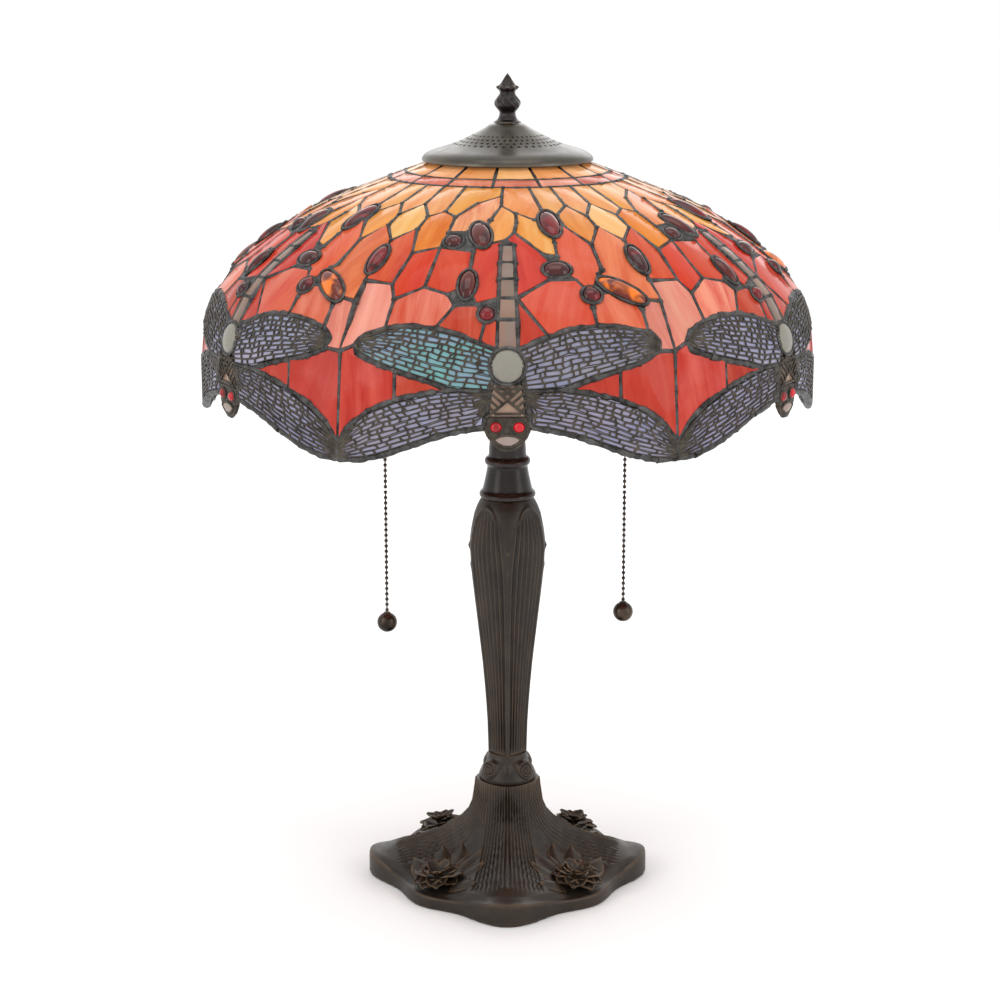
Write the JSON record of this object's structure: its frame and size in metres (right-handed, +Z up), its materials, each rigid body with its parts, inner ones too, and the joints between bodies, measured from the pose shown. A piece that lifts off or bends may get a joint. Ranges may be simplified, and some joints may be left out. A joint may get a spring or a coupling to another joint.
{
  "type": "stained glass table lamp",
  "caption": "Table lamp with a domed leaded-glass dragonfly shade, pull-chain lampholders, a reeded bronze column and a lobed leaf base.",
  "frame": {"origin": "on the surface the lamp stands on, at the middle of the base", "axes": "+Z up along the column, -Y to the front dragonfly, +X to the right-hand pull chain"},
  "size_m": [0.416, 0.4184, 0.566],
  "materials": {
    "amber_glass": "streaky opalescent, smooth",
    "rose_glass": "streaky opalescent, smooth",
    "red_glass": "streaky opalescent, smooth",
    "jewel_glass": "polished cast cabochon",
    "opal_glass": "milky opal",
    "wing_glass": "periwinkle opal with green lights",
    "solder": "dark patinated solder, lumpy, half gloss",
    "filigree_brass": "blackened etched brass",
    "cap_metal": "satin grey bronze paint",
    "bronze": "dark bronze with rubbed brown edges",
    "brass": "plain",
    "steel": "zinc plated",
    "bakelite": "moulded",
    "bulb_glass": "pearl, lit",
    "felt": "pressed felt",
    "rubber": "moulded"
  },
  "bodies": {
    "root": {"finial_stud": "brass", "threaded_tube": "steel", "shade_wheel": "brass", "tube_nuts": "steel", "cluster_body": "bronze", "cluster_arms": "bronze", "holder_caps": "brass", "holder_shells": "brass", "switch_bodies": "bakelite", "screw_shells": "brass", "centre_contacts": "brass", "chain_bells": "bronze", "bulb_glass": "bulb_glass", "bulb_caps": "steel", "column_collar": "bronze", "column_casting": "bronze", "volute_collar": "bronze", "base_casting": "bronze", "base_washer": "steel", "felt_pad": "felt", "cord_grommet": "rubber"},
    "shade": {"crown_panes": "amber_glass", "band_panes": "rose_glass", "amber_panes": "amber_glass", "leaf_panes": "amber_glass", "red_panes": "red_glass", "rose_panes": "rose_glass", "vee_panes": "red_glass", "round_jewels": "jewel_glass", "oval_jewels": "jewel_glass", "tail_segments": "opal_glass", "thorax_glass": "opal_glass", "belly_glass": "opal_glass", "mouth_glass": "opal_glass", "eyes": "jewel_glass", "body_lattices": "filigree_brass", "dragonfly_heads": "solder", "upper_wing_glass": "wing_glass", "lower_wing_glass": "wing_glass", "upper_wing_filigree": "filigree_brass", "lower_wing_filigree": "filigree_brass", "crown_seams": "solder", "leaf_seams": "solder", "red_seams": "solder", "shade_ring": "brass", "heat_cap": "cap_metal"},
    "finial_carrier": {"finial_insert": "brass"},
    "finial_knob": {"finial": "bronze"},
    "left_switch_drum": {"left_ratchet": "brass"},
    "right_switch_drum": {"right_ratchet": "brass"},
    "left_pull": {"left_pull_link": "bronze"},
    "right_pull": {"right_pull_link": "bronze"},
    "left_upper_length": {"left_chain_upper": "bronze"},
    "right_upper_length": {"right_chain_upper": "bronze"},
    "left_lower_length": {"left_chain_lower": "bronze", "left_chain_ball": "bronze"},
    "right_lower_length": {"right_chain_lower": "bronze", "right_chain_ball": "bronze"}
  },
  "joints": [
    {"name": "shade_turn", "type": "hinge", "parent": "root", "child": "shade", "pos_m": [0, 0, 0.508], "axis": [0, 0, 1], "continuous": true},
    {"name": "finial_rise", "type": "slide", "parent": "root", "child": "finial_carrier", "axis": [0, 0, 1], "range_m": [0, 0.006]},
    {"name": "finial_turn", "type": "hinge", "parent": "finial_carrier", "child": "finial_knob", "pos_m": [0, 0, 0.536], "axis": [0, 0, 1], "range_deg": [0, 2165]},
    {"name": "left_chain_pull", "type": "slide", "parent": "root", "child": "left_pull", "axis": [0, 0, -1], "range_m": [0, 0.01], "stiffness_N_per_m": 450, "springref_m": -0.006},
    {"name": "left_switch_turn", "type": "hinge", "parent": "root", "child": "left_switch_drum", "pos_m": [-0.052, 0, 0.366], "axis": [0, 1, 0], "range_deg": [0, 91]},
    {"name": "left_chain_sway", "type": "hinge", "parent": "left_pull", "child": "left_upper_length", "pos_m": [-0.0845, 0, 0.3538], "axis": [0, 1, 0], "range_deg": [-14, 30]},
    {"name": "left_chain_swing", "type": "hinge", "parent": "left_upper_length", "child": "left_lower_length", "pos_m": [-0.0845, 0, 0.28065], "axis": [1, 0, 0], "range_deg": [-30, 30]},
    {"name": "right_chain_pull", "type": "slide", "parent": "root", "child": "right_pull", "axis": [0, 0, -1], "range_m": [0, 0.01], "stiffness_N_per_m": 450, "springref_m": -0.006},
    {"name": "right_switch_turn", "type": "hinge", "parent": "root", "child": "right_switch_drum", "pos_m": [0.052, 0, 0.366], "axis": [0, -1, 0], "range_deg": [0, 91]},
    {"name": "right_chain_sway", "type": "hinge", "parent": "right_pull", "child": "right_upper_length", "pos_m": [0.081, 0, 0.3538], "axis": [0, -1, 0], "range_deg": [-14, 30]},
    {"name": "right_chain_swing", "type": "hinge", "parent": "right_upper_length", "child": "right_lower_length", "pos_m": [0.081, 0, 0.28065], "axis": [1, 0, 0], "range_deg": [-30, 30]}
  ],
  "couplings": [
    {"joint": "finial_turn", "follows": "finial_rise", "rad_per_m": 6283.2},
    {"joint": "left_switch_turn", "follows": "left_chain_pull", "rad_per_m": 157},
    {"joint": "right_switch_turn", "follows": "right_chain_pull", "rad_per_m": 157}
  ]
}
